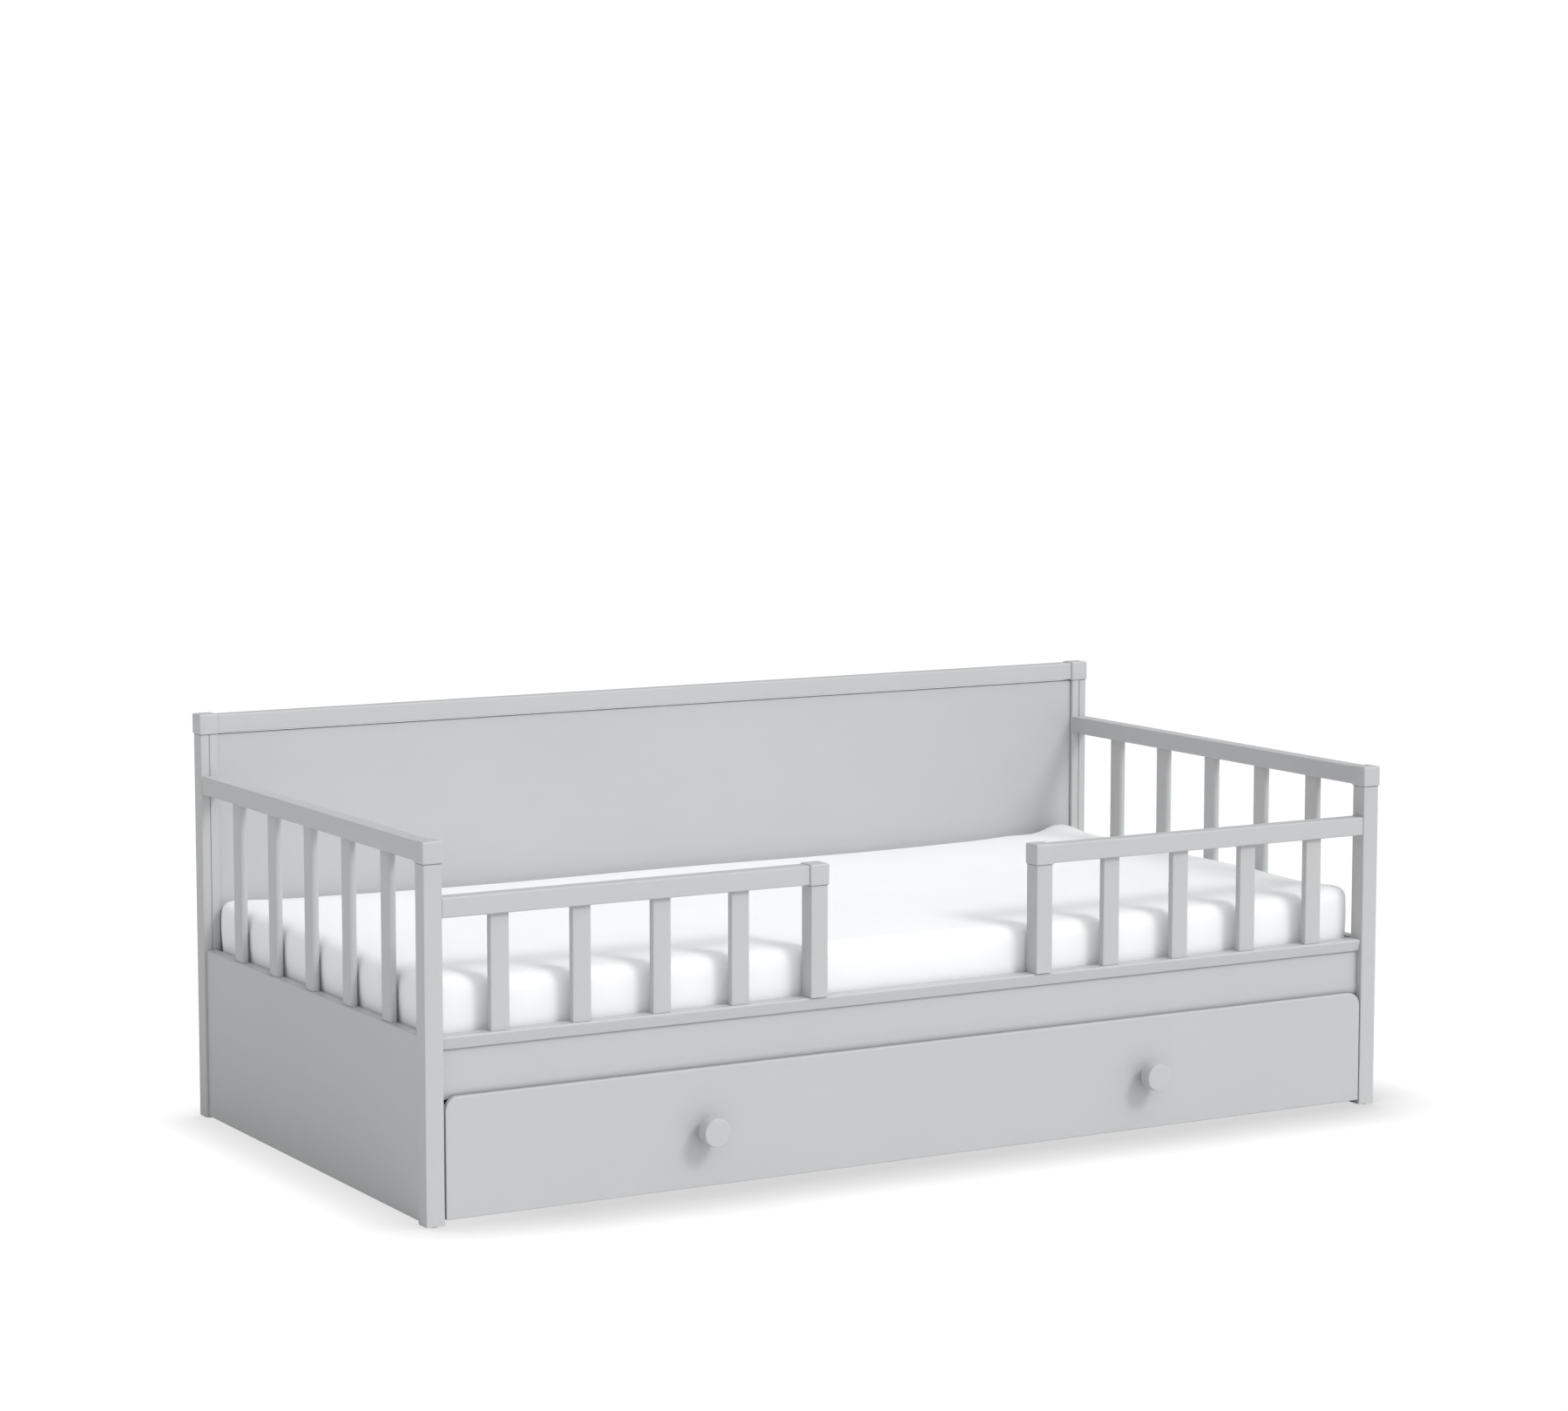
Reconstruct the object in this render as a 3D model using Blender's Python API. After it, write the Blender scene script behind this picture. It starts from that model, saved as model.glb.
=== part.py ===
"""Toddler bed: a day bed with guard rails, a mattress on slats, and a rolling drawer.

Metres, +Z up. +X runs along the bed and the open side faces -Y. The floor is z = 0, and the
origin lies under the middle of the overall box, drawer knobs included.
"""

from math import asin, cos, degrees, pi, radians, sin, tau

import bmesh
import bpy
from mathutils import Vector

# Overall frame, measured over the corner posts
LENGTH = 1.650
WIDTH = 0.847
BACK_HEIGHT = 0.635
END_HEIGHT = 0.541
GUARD_HEIGHT = 0.463

# Square stock, caps and rails
STOCK = 0.0285
CAP = 0.032
RAIL_DEPTH = 0.026
CAP_PROUD = (CAP - STOCK) / 2
STOCK_EDGE = 0.0018
CAP_EDGE = 0.0026
GROOVE_WIDTH = 0.0024
GROOVE_DEPTH = 0.0014

# Glides under the posts
FOOT_HEIGHT = 0.0018
FOOT_RADIUS = 0.010

# Flat slats: the spindles of the ends and the slats of the guards
SLAT_THICKNESS = 0.012
SPINDLE_WIDTH = 0.0325
SPINDLE_EDGE = 0.005
GUARD_SLAT_WIDTH = 0.0296
GUARD_SLAT_EDGE = 0.0022
SPINDLE_COUNT = 5
GUARD_SLAT_COUNT = 4
GUARD_SLAT_PITCH = 0.1276
GUARD_LENGTH = 0.6435

# Front ledge, whose front leans back towards its foot, and the apron under it
LEDGE_TOP = 0.2665
LEDGE_THICKNESS = 0.019
LEDGE_SETBACK = 0.0025
LEDGE_LEAN = 0.0045
LEDGE_EDGE = 0.0036
APRON_SETBACK = 0.011
APRON_THICKNESS = 0.019
APRON_HEIGHT = 0.0712
APRON_FOOT_RADIUS = 0.034
APRON_FOOT_RISE = 0.0155

# Panels
PANEL_BOTTOM = 0.0038
PANEL_EDGE = 0.0015
SIDE_PANEL_THICKNESS = 0.018
SIDE_PANEL_RECESS = 0.004
BACK_PANEL_THICKNESS = 0.010
BACK_PANEL_RECESS = 0.0055

# Mattress support
SUPPORT_DEPTH = 0.022
SUPPORT_HEIGHT = 0.030
SUPPORT_TOP = 0.2085
BASE_SLAT_COUNT = 14
BASE_SLAT_WIDTH = 0.070
BASE_SLAT_THICKNESS = 0.014
BASE_LENGTH = 1.590
TAPE_WIDTH = 0.025
TAPE_THICKNESS = 0.0015
TAPE_SUNK = 0.0003
TAPE_INSET = 0.070

# Mattress
MATTRESS_LENGTH = 1.598
MATTRESS_TOP = 0.3465
MATTRESS_EDGE = 0.020
MATTRESS_CLEARANCE = 0.0015

# Drawer
DRAWER_FRONT_THICKNESS = 0.010
DRAWER_FRONT_BOTTOM = 0.009
DRAWER_FRONT_TOP = 0.182
DRAWER_FRONT_CORNER = 0.020
DRAWER_SIDE_GAP = 0.0023
DRAWER_DEPTH = 0.760
DRAWER_HALF_WIDTH = 0.765
DRAWER_BOX_TOP = 0.158
DRAWER_BOARD = 0.014
DRAWER_BOTTOM_THICKNESS = 0.005
DRAWER_BOTTOM_Z = 0.024

# Knobs
KNOB_SPACING = 0.769
KNOB_HEIGHT = 0.0935
KNOB_REACH = 0.036
KNOB_RADIUS = 0.0207
KNOB_HEAD = 0.0212
KNOB_STEM_RADIUS = 0.0085
KNOB_EDGE = 0.002
KNOB_SIDES = 32

# Drawer wheels, moulded in one with their axle pins
WHEEL_RADIUS = 0.020
WHEEL_WIDTH = 0.012
WHEEL_EDGE = 0.0015
WHEEL_RECESS_RADIUS = 0.013
WHEEL_RECESS_DEPTH = 0.003
WHEEL_STANDOFF = 0.001
WHEEL_SIDES = 28
AXLE_RADIUS = 0.004
AXLE_HOLE_RADIUS = 0.0043
AXLE_LENGTH = 0.013
FRONT_WHEEL_INSET = 0.075
BACK_WHEEL_INSET = 0.700

# Space left between two pieces that meet
GAP = 0.0003

# Faces of the frame that follow from the sizes above
END_X = LENGTH / 2
INNER_X = END_X - STOCK
FRONT_Y = -(WIDTH + CAP_PROUD - KNOB_REACH) / 2
BACK_Y = FRONT_Y + WIDTH
BACK_PANEL_FACE = BACK_Y - STOCK + BACK_PANEL_RECESS
APRON_BACK = FRONT_Y + APRON_SETBACK + APRON_THICKNESS
LEDGE_BOTTOM = LEDGE_TOP - LEDGE_THICKNESS
BASE_SLAT_TOP = SUPPORT_TOP + GAP + BASE_SLAT_THICKNESS
TAPE_TOP = BASE_SLAT_TOP - TAPE_SUNK + TAPE_THICKNESS

SIDES = (("left", -1), ("right", 1))
ENDS = (("front", FRONT_Y + STOCK / 2, END_HEIGHT), ("back", BACK_Y - STOCK / 2, BACK_HEIGHT))


def clear_scene():
    for obj in list(bpy.data.objects):
        bpy.data.objects.remove(obj)


def make_material(name, color, roughness, metallic=0.0):
    material = bpy.data.materials.new(name)
    material.use_nodes = True
    shader = material.node_tree.nodes["Principled BSDF"]
    shader.inputs["Base Color"].default_value = (*color, 1.0)
    shader.inputs["Roughness"].default_value = roughness
    shader.inputs["Metallic"].default_value = metallic
    return material


def add_object(name, bm, material, location=(0, 0, 0), parent=None):
    """Turns the bmesh into an object with its origin at location, in its parent's space."""
    bmesh.ops.recalc_face_normals(bm, faces=bm.faces)
    mesh = bpy.data.meshes.new(name)
    bm.to_mesh(mesh)
    bm.free()
    mesh.materials.append(material)
    obj = bpy.data.objects.new(name, mesh)
    bpy.context.scene.collection.objects.link(obj)
    obj.location = location
    obj.parent = parent
    return obj


def ease_edges(obj, width, segments=2):
    bevel = obj.modifiers.new("Eased edges", "BEVEL")
    bevel.width = width
    bevel.segments = segments
    bevel.limit_method = "ANGLE"
    bevel.angle_limit = radians(40)
    obj.data.shade_smooth()
    obj.data.set_sharp_from_angle(angle=radians(50))


def box_mesh(size, bm=None, center=(0, 0, 0)):
    bm = bm or bmesh.new()
    corners = bmesh.ops.create_cube(bm, size=1.0)["verts"]
    bmesh.ops.scale(bm, vec=size, verts=corners)
    bmesh.ops.translate(bm, vec=center, verts=corners)
    return bm


def board(name, low, high, material, edge=PANEL_EDGE, segments=2, parent=None):
    """A rectangular board between two opposite corners, with eased edges."""
    low, high = Vector(low), Vector(high)
    obj = add_object(name, box_mesh(high - low), material, (low + high) / 2, parent)
    if edge:
        ease_edges(obj, edge, segments)
    return obj


def side_board(name, side, inner, outer, y, z, material, **kwargs):
    """A board at one end of the bed: inner and outer are its distances from the middle."""
    xs = sorted((side * inner, side * outer))
    return board(name, (xs[0], y[0], z[0]), (xs[1], y[1], z[1]), material, **kwargs)


def arc(center, radius, start, end, steps):
    """Points on an arc, in degrees, both ends included."""
    angles = [radians(start + (end - start) * step / steps) for step in range(steps + 1)]
    return [(center[0] + radius * cos(angle), center[1] + radius * sin(angle)) for angle in angles]


def rounded_outline(width, depth, radii, steps=3):
    """A rectangle about the origin. radii round the corners from the lower left, anticlockwise."""
    corners = ((-1, -1, 180), (1, -1, 270), (1, 1, 0), (-1, 1, 90))
    points = []
    for (x_sign, y_sign, start), radius in zip(corners, radii):
        center = (x_sign * (width / 2 - radius), y_sign * (depth / 2 - radius))
        points += arc(center, radius, start, start + 90, steps) if radius else [center]
    return points


def prism(name, outline, length, material, location, turn=(0, 0, 0), parent=None):
    """The outline, in local X and Y, drawn out along local Z to both sides of location."""
    bm = bmesh.new()
    face = bm.faces.new([bm.verts.new((x, y, -length / 2)) for x, y in outline])
    made = bmesh.ops.extrude_face_region(bm, geom=[face])["geom"]
    top = [item for item in made if isinstance(item, bmesh.types.BMVert)]
    bmesh.ops.translate(bm, vec=(0, 0, length), verts=top)
    obj = add_object(name, bm, material, location, parent)
    obj.rotation_euler = turn
    obj.data.shade_smooth()
    obj.data.set_sharp_from_angle(angle=radians(50))
    return obj


def turned_mesh(profile, sides):
    """The profile of (radius, height) points turned about the Z axis. Its ends lie on the axis."""
    bm = bmesh.new()
    rings = []
    for radius, height in profile:
        count = sides if radius else 1
        angles = [tau * step / sides for step in range(count)]
        rings.append([bm.verts.new((radius * cos(a), radius * sin(a), height)) for a in angles])
    for low, high in zip(rings, rings[1:]):
        for step in range(sides):
            after = (step + 1) % sides
            loop = [low[step % len(low)], low[after % len(low)]]
            loop += [high[after % len(high)], high[step % len(high)]]
            bm.faces.new(dict.fromkeys(loop))
    return bm


def turned(name, profile, sides, material, location, turn, parent=None):
    obj = add_object(name, turned_mesh(profile, sides), material, location, parent)
    obj.rotation_euler = turn
    obj.data.shade_smooth()
    obj.data.set_sharp_from_angle(angle=radians(35))
    return obj


def post_outline(grooved):
    """The square post in plan. A back post has a shallow groove down the middle of its front."""
    outline = rounded_outline(STOCK, STOCK, [STOCK_EDGE] * 4, steps=2)
    if not grooved:
        return outline
    half, face = GROOVE_WIDTH / 2, -STOCK / 2
    groove = [(-half, face), (-half, face + GROOVE_DEPTH), (half, face + GROOVE_DEPTH), (half, face)]
    first_corner_points = 3
    return outline[:first_corner_points] + groove + outline[first_corner_points:]


def make_corner_posts(paint, plastic):
    """Four square posts, each on a glide and under a cap that stands proud all round."""
    for end, y, height in ENDS:
        for side_name, side in SIDES:
            x = side * (END_X - STOCK / 2)
            where = f"{end}_{side_name}"
            bottom, top = FOOT_HEIGHT, height - CAP - GAP
            center = (x, y, (bottom + top) / 2)
            prism(f"post_{where}", post_outline(end == "back"), top - bottom, paint, center)
            add_cap(f"cap_{where}", x, y, height, paint)
            foot = [(0, 0), (FOOT_RADIUS, 0), (FOOT_RADIUS, FOOT_HEIGHT - GAP), (0, FOOT_HEIGHT - GAP)]
            turned(f"foot_{where}", foot, 16, plastic, (x, y, 0), (0, 0, 0))


def add_cap(name, x, y, top, material):
    low = (x - CAP / 2, y - CAP / 2, top - CAP)
    high = (x + CAP / 2, y + CAP / 2, top)
    board(name, low, high, material, edge=CAP_EDGE)


def rail_outline():
    return rounded_outline(STOCK, RAIL_DEPTH, [STOCK_EDGE] * 4, steps=2)


def make_ends(paint):
    """Each end: a lower panel, a top rail from the back post to the front cap, and spindles."""
    panel_y = (FRONT_Y + STOCK + GAP, BACK_Y - STOCK - GAP)
    rail_y = (FRONT_Y + STOCK + CAP_PROUD + GAP, BACK_Y - STOCK - GAP)
    rail_z = END_HEIGHT - CAP / 2
    spindle_z = (LEDGE_TOP + GAP, rail_z - STOCK / 2 - GAP)
    gap = (WIDTH - 2 * STOCK - SPINDLE_COUNT * SPINDLE_WIDTH) / (SPINDLE_COUNT + 1)
    pitch = gap + SPINDLE_WIDTH
    for side_name, side in SIDES:
        outer = END_X - SIDE_PANEL_RECESS
        inner = outer - SIDE_PANEL_THICKNESS
        side_board(f"side_panel_{side_name}", side, inner, outer, panel_y, (PANEL_BOTTOM, LEDGE_TOP), paint)
        x = side * (END_X - STOCK / 2)
        rail_center = (x, sum(rail_y) / 2, rail_z)
        turn = (pi / 2, pi / 2, 0)
        prism(f"end_rail_{side_name}", rail_outline(), rail_y[1] - rail_y[0], paint, rail_center, turn)
        for index in range(SPINDLE_COUNT):
            y = FRONT_Y + WIDTH / 2 + (index - (SPINDLE_COUNT - 1) / 2) * pitch
            outline = rounded_outline(SLAT_THICKNESS, SPINDLE_WIDTH, [SPINDLE_EDGE] * 4)
            center = (x, y, sum(spindle_z) / 2)
            prism(f"spindle_{side_name}_{index + 1}", outline, spindle_z[1] - spindle_z[0], paint, center)


def make_back(paint):
    """The tall panel behind the mattress, and the rail above it with a shadow gap between."""
    half = INNER_X - CAP_PROUD - GAP
    rail_z = BACK_HEIGHT - CAP / 2
    center = (0, BACK_Y - STOCK / 2, rail_z)
    prism("back_rail", rail_outline(), 2 * half, paint, center, (0, pi / 2, 0))
    low = (-INNER_X + GAP, BACK_PANEL_FACE, PANEL_BOTTOM)
    high = (INNER_X - GAP, BACK_PANEL_FACE + BACK_PANEL_THICKNESS, BACK_HEIGHT - CAP - GAP)
    board("back_panel", low, high, paint, edge=PANEL_EDGE / 2, segments=1)


def make_front(paint):
    """The ledge that carries the guards, and the apron set back under it."""
    half = INNER_X - GAP
    radii = [LEDGE_EDGE / 2, LEDGE_EDGE / 4, LEDGE_EDGE / 2, LEDGE_EDGE]
    outline = []
    for y, z in rounded_outline(STOCK - LEDGE_SETBACK, LEDGE_THICKNESS, radii):
        lean = LEDGE_LEAN * (0.5 - z / LEDGE_THICKNESS) if y < 0 else 0
        outline.append((-z, y + lean))
    center = (0, FRONT_Y + (STOCK + LEDGE_SETBACK) / 2, LEDGE_TOP - LEDGE_THICKNESS / 2)
    prism("front_ledge", outline, 2 * half, paint, center, (0, pi / 2, 0))
    outline = [(-z, y) for y, z in apron_outline()]
    center = (0, APRON_BACK - APRON_THICKNESS / 2, LEDGE_BOTTOM - GAP - APRON_HEIGHT / 2)
    prism("front_apron", outline, 2 * half, paint, center, (0, pi / 2, 0))


def apron_outline():
    """The apron's section about its middle, in (y, z). Its foot turns under behind the drawer."""
    y, z, edge = APRON_THICKNESS / 2, APRON_HEIGHT / 2, PANEL_EDGE
    tuck = degrees(asin(APRON_FOOT_RISE / APRON_FOOT_RADIUS))
    center = (APRON_FOOT_RADIUS - y, APRON_FOOT_RISE - z)
    points = arc(center, APRON_FOOT_RADIUS, 180, 180 + tuck, 6)
    points += arc((y - edge, edge - z), edge, 270, 360, 2)
    points += arc((y - edge, z - edge), edge, 0, 90, 2)
    return points + arc((edge - y, z - edge), edge, 90, 180, 2)


def make_guards(paint):
    """Two short guards on the ledge: a rail, an end post with its cap, and flat slats."""
    y = FRONT_Y + STOCK / 2
    rail_z = GUARD_HEIGHT - CAP / 2
    post_z = (LEDGE_TOP + GAP, GUARD_HEIGHT - CAP - GAP)
    slat_z = (LEDGE_TOP + GAP, rail_z - STOCK / 2 - GAP)
    post_from_end = GUARD_LENGTH - STOCK / 2
    rail_from_end = (STOCK + GAP, GUARD_LENGTH - STOCK - CAP_PROUD - GAP)
    last_slat = GUARD_LENGTH - STOCK - GUARD_SLAT_PITCH + GUARD_SLAT_WIDTH / 2
    for side_name, side in SIDES:
        x = side * (END_X - post_from_end)
        post = post_outline(grooved=False)
        prism(f"guard_post_{side_name}", post, post_z[1] - post_z[0], paint, (x, y, sum(post_z) / 2))
        add_cap(f"guard_cap_{side_name}", x, y, GUARD_HEIGHT, paint)
        rail_x = side * (END_X - sum(rail_from_end) / 2)
        length = rail_from_end[1] - rail_from_end[0]
        prism(f"guard_rail_{side_name}", rail_outline(), length, paint, (rail_x, y, rail_z), (0, pi / 2, 0))
        for index in range(GUARD_SLAT_COUNT):
            from_end = last_slat - (GUARD_SLAT_COUNT - 1 - index) * GUARD_SLAT_PITCH
            edges = [GUARD_SLAT_EDGE] * 4
            outline = rounded_outline(GUARD_SLAT_WIDTH, SLAT_THICKNESS, edges, steps=2)
            center = (side * (END_X - from_end), y, sum(slat_z) / 2)
            prism(f"guard_slat_{side_name}_{index + 1}", outline, slat_z[1] - slat_z[0], paint, center)


def make_mattress_support(timber, tape):
    """A support rail along the front and the back, and a slatted base that rests on both."""
    half = INNER_X - GAP
    z = (SUPPORT_TOP - SUPPORT_HEIGHT, SUPPORT_TOP)
    front = (APRON_BACK + GAP, APRON_BACK + GAP + SUPPORT_DEPTH)
    back = (BACK_PANEL_FACE - GAP - SUPPORT_DEPTH, BACK_PANEL_FACE - GAP)
    for name, y in (("front", front), ("back", back)):
        low, high = (-half, y[0], z[0]), (half, y[1], z[1])
        board(f"support_rail_{name}", low, high, timber, edge=PANEL_EDGE, segments=1)
    make_slatted_base(front[0] + 2 * GAP, back[1] - 2 * GAP, timber, tape)


def make_slatted_base(front, back, timber, tape):
    """Loose slats held at an even pitch by two tapes, joined here into one body."""
    slats = bmesh.new()
    pitch = (BASE_LENGTH - BASE_SLAT_WIDTH) / (BASE_SLAT_COUNT - 1)
    size = (BASE_SLAT_WIDTH, back - front, BASE_SLAT_THICKNESS)
    z = BASE_SLAT_TOP - BASE_SLAT_THICKNESS / 2
    for index in range(BASE_SLAT_COUNT):
        x = (index - (BASE_SLAT_COUNT - 1) / 2) * pitch
        box_mesh(size, slats, (x, (front + back) / 2, z))
    base = add_object("slatted_base", slats, timber)

    tapes = bmesh.new()
    for y in (front + TAPE_INSET, back - TAPE_INSET):
        box_mesh((BASE_LENGTH, TAPE_WIDTH, TAPE_THICKNESS), tapes, (0, y, TAPE_TOP - TAPE_THICKNESS / 2))
    helper = add_object("slat_tapes", tapes, tape)
    helper.hide_render = True
    helper.display_type = "WIRE"
    join = base.modifiers.new("Tapes", "BOOLEAN")
    join.operation = "UNION"
    join.object = helper


def make_mattress(fabric):
    """A plain block in the mattress's place. It clears the frame all round."""
    half = MATTRESS_LENGTH / 2
    low = (-half, APRON_BACK + MATTRESS_CLEARANCE, TAPE_TOP + GAP)
    high = (half, BACK_PANEL_FACE - MATTRESS_CLEARANCE, MATTRESS_TOP)
    board("mattress", low, high, fabric, edge=MATTRESS_EDGE, segments=3)


def make_drawer(paint, liner, wheel_plastic):
    """The drawer box on its wheels. Its parent empty lies on the sliding axis."""
    rig = bpy.data.objects.new("drawer_slide_axis", None)
    rig.location = (0, FRONT_Y, WHEEL_RADIUS)
    bpy.context.scene.collection.objects.link(rig)
    make_drawer_front(paint, rig)
    make_drawer_box(paint, liner, rig)
    for side_name, side in SIDES:
        make_knob(f"knob_{side_name}", side * KNOB_SPACING / 2, paint, rig)
        for end, inset in (("front", FRONT_WHEEL_INSET), ("back", BACK_WHEEL_INSET)):
            make_wheel(f"wheel_{end}_{side_name}", side, inset, wheel_plastic, rig)


def make_drawer_front(paint, rig):
    """The front board, its upper corners rounded, standing flush with the posts."""
    width = 2 * (INNER_X - DRAWER_SIDE_GAP)
    height = DRAWER_FRONT_TOP - DRAWER_FRONT_BOTTOM
    radii = [0, 0, DRAWER_FRONT_CORNER, DRAWER_FRONT_CORNER]
    outline = rounded_outline(width, height, radii, steps=6)
    z = (DRAWER_FRONT_TOP + DRAWER_FRONT_BOTTOM) / 2 - WHEEL_RADIUS
    center = (0, DRAWER_FRONT_THICKNESS / 2, z)
    turn = (pi / 2, 0, 0)
    front = prism("drawer_front", outline, DRAWER_FRONT_THICKNESS, paint, center, turn, rig)
    ease_edges(front, PANEL_EDGE)


def make_drawer_box(paint, liner, rig):
    """Two sides with axle holes, a back between them, and a thin bottom."""
    start = DRAWER_FRONT_THICKNESS + GAP
    low_z = DRAWER_FRONT_BOTTOM - WHEEL_RADIUS
    high_z = DRAWER_BOX_TOP - WHEEL_RADIUS
    inner = DRAWER_HALF_WIDTH - DRAWER_BOARD
    for side_name, side in SIDES:
        y, z = (start, DRAWER_DEPTH), (low_z, high_z)
        name = f"drawer_side_{side_name}"
        panel = side_board(name, side, inner, DRAWER_HALF_WIDTH, y, z, paint, segments=1, parent=rig)
        drill_axle_holes(panel, side, rig)
    back_low = (-inner + GAP, DRAWER_DEPTH - DRAWER_BOARD, low_z)
    back_high = (inner - GAP, DRAWER_DEPTH, high_z)
    board("drawer_back", back_low, back_high, paint, segments=1, parent=rig)
    bottom_z = DRAWER_BOTTOM_Z - WHEEL_RADIUS
    bottom_low = (-inner + GAP, start, bottom_z)
    bottom_high = (inner - GAP, DRAWER_DEPTH - DRAWER_BOARD - GAP, bottom_z + DRAWER_BOTTOM_THICKNESS)
    board("drawer_bottom", bottom_low, bottom_high, liner, edge=0, parent=rig)


def drill_axle_holes(panel, side, rig):
    for end, inset in (("front", FRONT_WHEEL_INSET), ("back", BACK_WHEEL_INSET)):
        reach = DRAWER_BOARD
        profile = [(0, -reach), (AXLE_HOLE_RADIUS, -reach), (AXLE_HOLE_RADIUS, reach), (0, reach)]
        x = side * (DRAWER_HALF_WIDTH - DRAWER_BOARD / 2)
        name = f"{panel.name}_{end}_drill"
        drill = turned(name, profile, 24, panel.data.materials[0], (x, inset, 0), (0, pi / 2, 0), rig)
        drill.hide_render = True
        drill.display_type = "WIRE"
        cut = panel.modifiers.new(f"Axle hole {end}", "BOOLEAN")
        cut.operation = "DIFFERENCE"
        cut.object = drill


def make_knob(name, x, paint, rig):
    """A flat round knob on a short stem, turned about its own axis."""
    head_back = KNOB_REACH - KNOB_HEAD
    profile = [(0, GAP), (KNOB_STEM_RADIUS, GAP), (KNOB_STEM_RADIUS, head_back)]
    profile += arc((KNOB_RADIUS - KNOB_EDGE, head_back + KNOB_EDGE), KNOB_EDGE, -90, 0, 2)
    profile += arc((KNOB_RADIUS - KNOB_EDGE, KNOB_REACH - KNOB_EDGE), KNOB_EDGE, 0, 90, 2)
    profile.append((0, KNOB_REACH))
    center = (x, 0, KNOB_HEIGHT - WHEEL_RADIUS)
    turned(name, profile, KNOB_SIDES, paint, center, (pi / 2, 0, 0), rig)


def make_wheel(name, side, inset, plastic, rig):
    """A wheel with a dished outer face, and the pin on its back that turns in the drawer side."""
    rim = WHEEL_RADIUS - WHEEL_EDGE
    dish = WHEEL_WIDTH - WHEEL_RECESS_DEPTH
    profile = [(0, -AXLE_LENGTH), (AXLE_RADIUS, -AXLE_LENGTH), (AXLE_RADIUS, 0)]
    profile += arc((rim, WHEEL_EDGE), WHEEL_EDGE, -90, 0, 2)
    profile += arc((rim, WHEEL_WIDTH - WHEEL_EDGE), WHEEL_EDGE, 0, 90, 2)
    profile += [(WHEEL_RECESS_RADIUS + WHEEL_EDGE, WHEEL_WIDTH), (WHEEL_RECESS_RADIUS, dish), (0, dish)]
    x = side * (DRAWER_HALF_WIDTH + WHEEL_STANDOFF)
    turned(name, profile, WHEEL_SIDES, plastic, (x, inset, 0), (0, side * pi / 2, 0), rig)


def main():
    clear_scene()
    paint = make_material("grey_painted_wood", (0.56, 0.57, 0.585), 0.45)
    timber = make_material("bare_pine", (0.66, 0.48, 0.29), 0.65)
    tape = make_material("woven_tape", (0.75, 0.74, 0.70), 0.9)
    fabric = make_material("white_cotton", (0.88, 0.89, 0.90), 0.9)
    liner = make_material("drawer_liner_board", (0.74, 0.75, 0.76), 0.55)
    foot_plastic = make_material("foot_plastic", (0.10, 0.10, 0.11), 0.5)
    wheel_plastic = make_material("wheel_plastic", (0.16, 0.165, 0.175), 0.4)
    make_corner_posts(paint, foot_plastic)
    make_ends(paint)
    make_back(paint)
    make_front(paint)
    make_guards(paint)
    make_mattress_support(timber, tape)
    make_mattress(fabric)
    make_drawer(paint, liner, wheel_plastic)


main()
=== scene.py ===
"""Looks of the toddler bed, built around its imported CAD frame. Metres, +Z up."""

from math import copysign, cos, exp, pi, radians, sin, tau

import bmesh
import bpy
import numpy as np
from mathutils import Matrix, Vector
from mathutils.bvhtree import BVHTree


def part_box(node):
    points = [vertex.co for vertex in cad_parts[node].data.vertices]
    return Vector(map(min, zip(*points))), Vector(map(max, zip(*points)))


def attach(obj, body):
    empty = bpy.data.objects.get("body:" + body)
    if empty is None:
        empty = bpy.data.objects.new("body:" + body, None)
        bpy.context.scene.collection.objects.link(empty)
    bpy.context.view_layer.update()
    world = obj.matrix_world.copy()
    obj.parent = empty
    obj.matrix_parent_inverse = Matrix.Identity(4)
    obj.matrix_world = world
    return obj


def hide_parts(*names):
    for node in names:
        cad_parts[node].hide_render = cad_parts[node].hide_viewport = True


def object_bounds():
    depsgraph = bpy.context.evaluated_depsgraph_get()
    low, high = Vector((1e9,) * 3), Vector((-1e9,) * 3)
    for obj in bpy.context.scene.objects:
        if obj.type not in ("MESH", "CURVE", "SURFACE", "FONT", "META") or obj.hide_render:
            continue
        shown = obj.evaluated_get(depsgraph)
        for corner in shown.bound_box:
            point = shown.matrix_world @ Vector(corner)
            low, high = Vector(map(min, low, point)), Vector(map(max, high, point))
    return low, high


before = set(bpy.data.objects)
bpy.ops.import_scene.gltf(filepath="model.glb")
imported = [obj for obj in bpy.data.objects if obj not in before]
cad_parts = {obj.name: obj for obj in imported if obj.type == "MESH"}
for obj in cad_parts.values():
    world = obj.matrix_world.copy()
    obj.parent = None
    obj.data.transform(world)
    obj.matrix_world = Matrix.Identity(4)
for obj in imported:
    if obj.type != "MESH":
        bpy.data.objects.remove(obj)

CAD_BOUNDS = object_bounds()

# Camera
CAMERA_PLACE = (-3.040, -5.2526, 1.3242)
CAMERA_AZIMUTH = 29.88
CAMERA_DOWN = 6.40
CAMERA_LENS = 90.05
SENSOR_WIDTH = 36.0

# Key light, broad glow in the sky, and side fill
KEY_FROM = (0.36, -0.71, 0.68)
KEY_STRENGTH = 1.075
KEY_SPREAD = 18.0
SOFTBOX_FROM = (0.38, -0.60, 1.0)
SOFTBOX_GAIN = 0.976
SOFTBOX_FALLOFF = 1.5
SKY_LEVEL = 0.42
SIDE_FILL_PLACE = (-2.1, -0.5, 0.15)
SIDE_FILL_SIZE = 1.6
SIDE_FILL_POWER = 1.4

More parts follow.
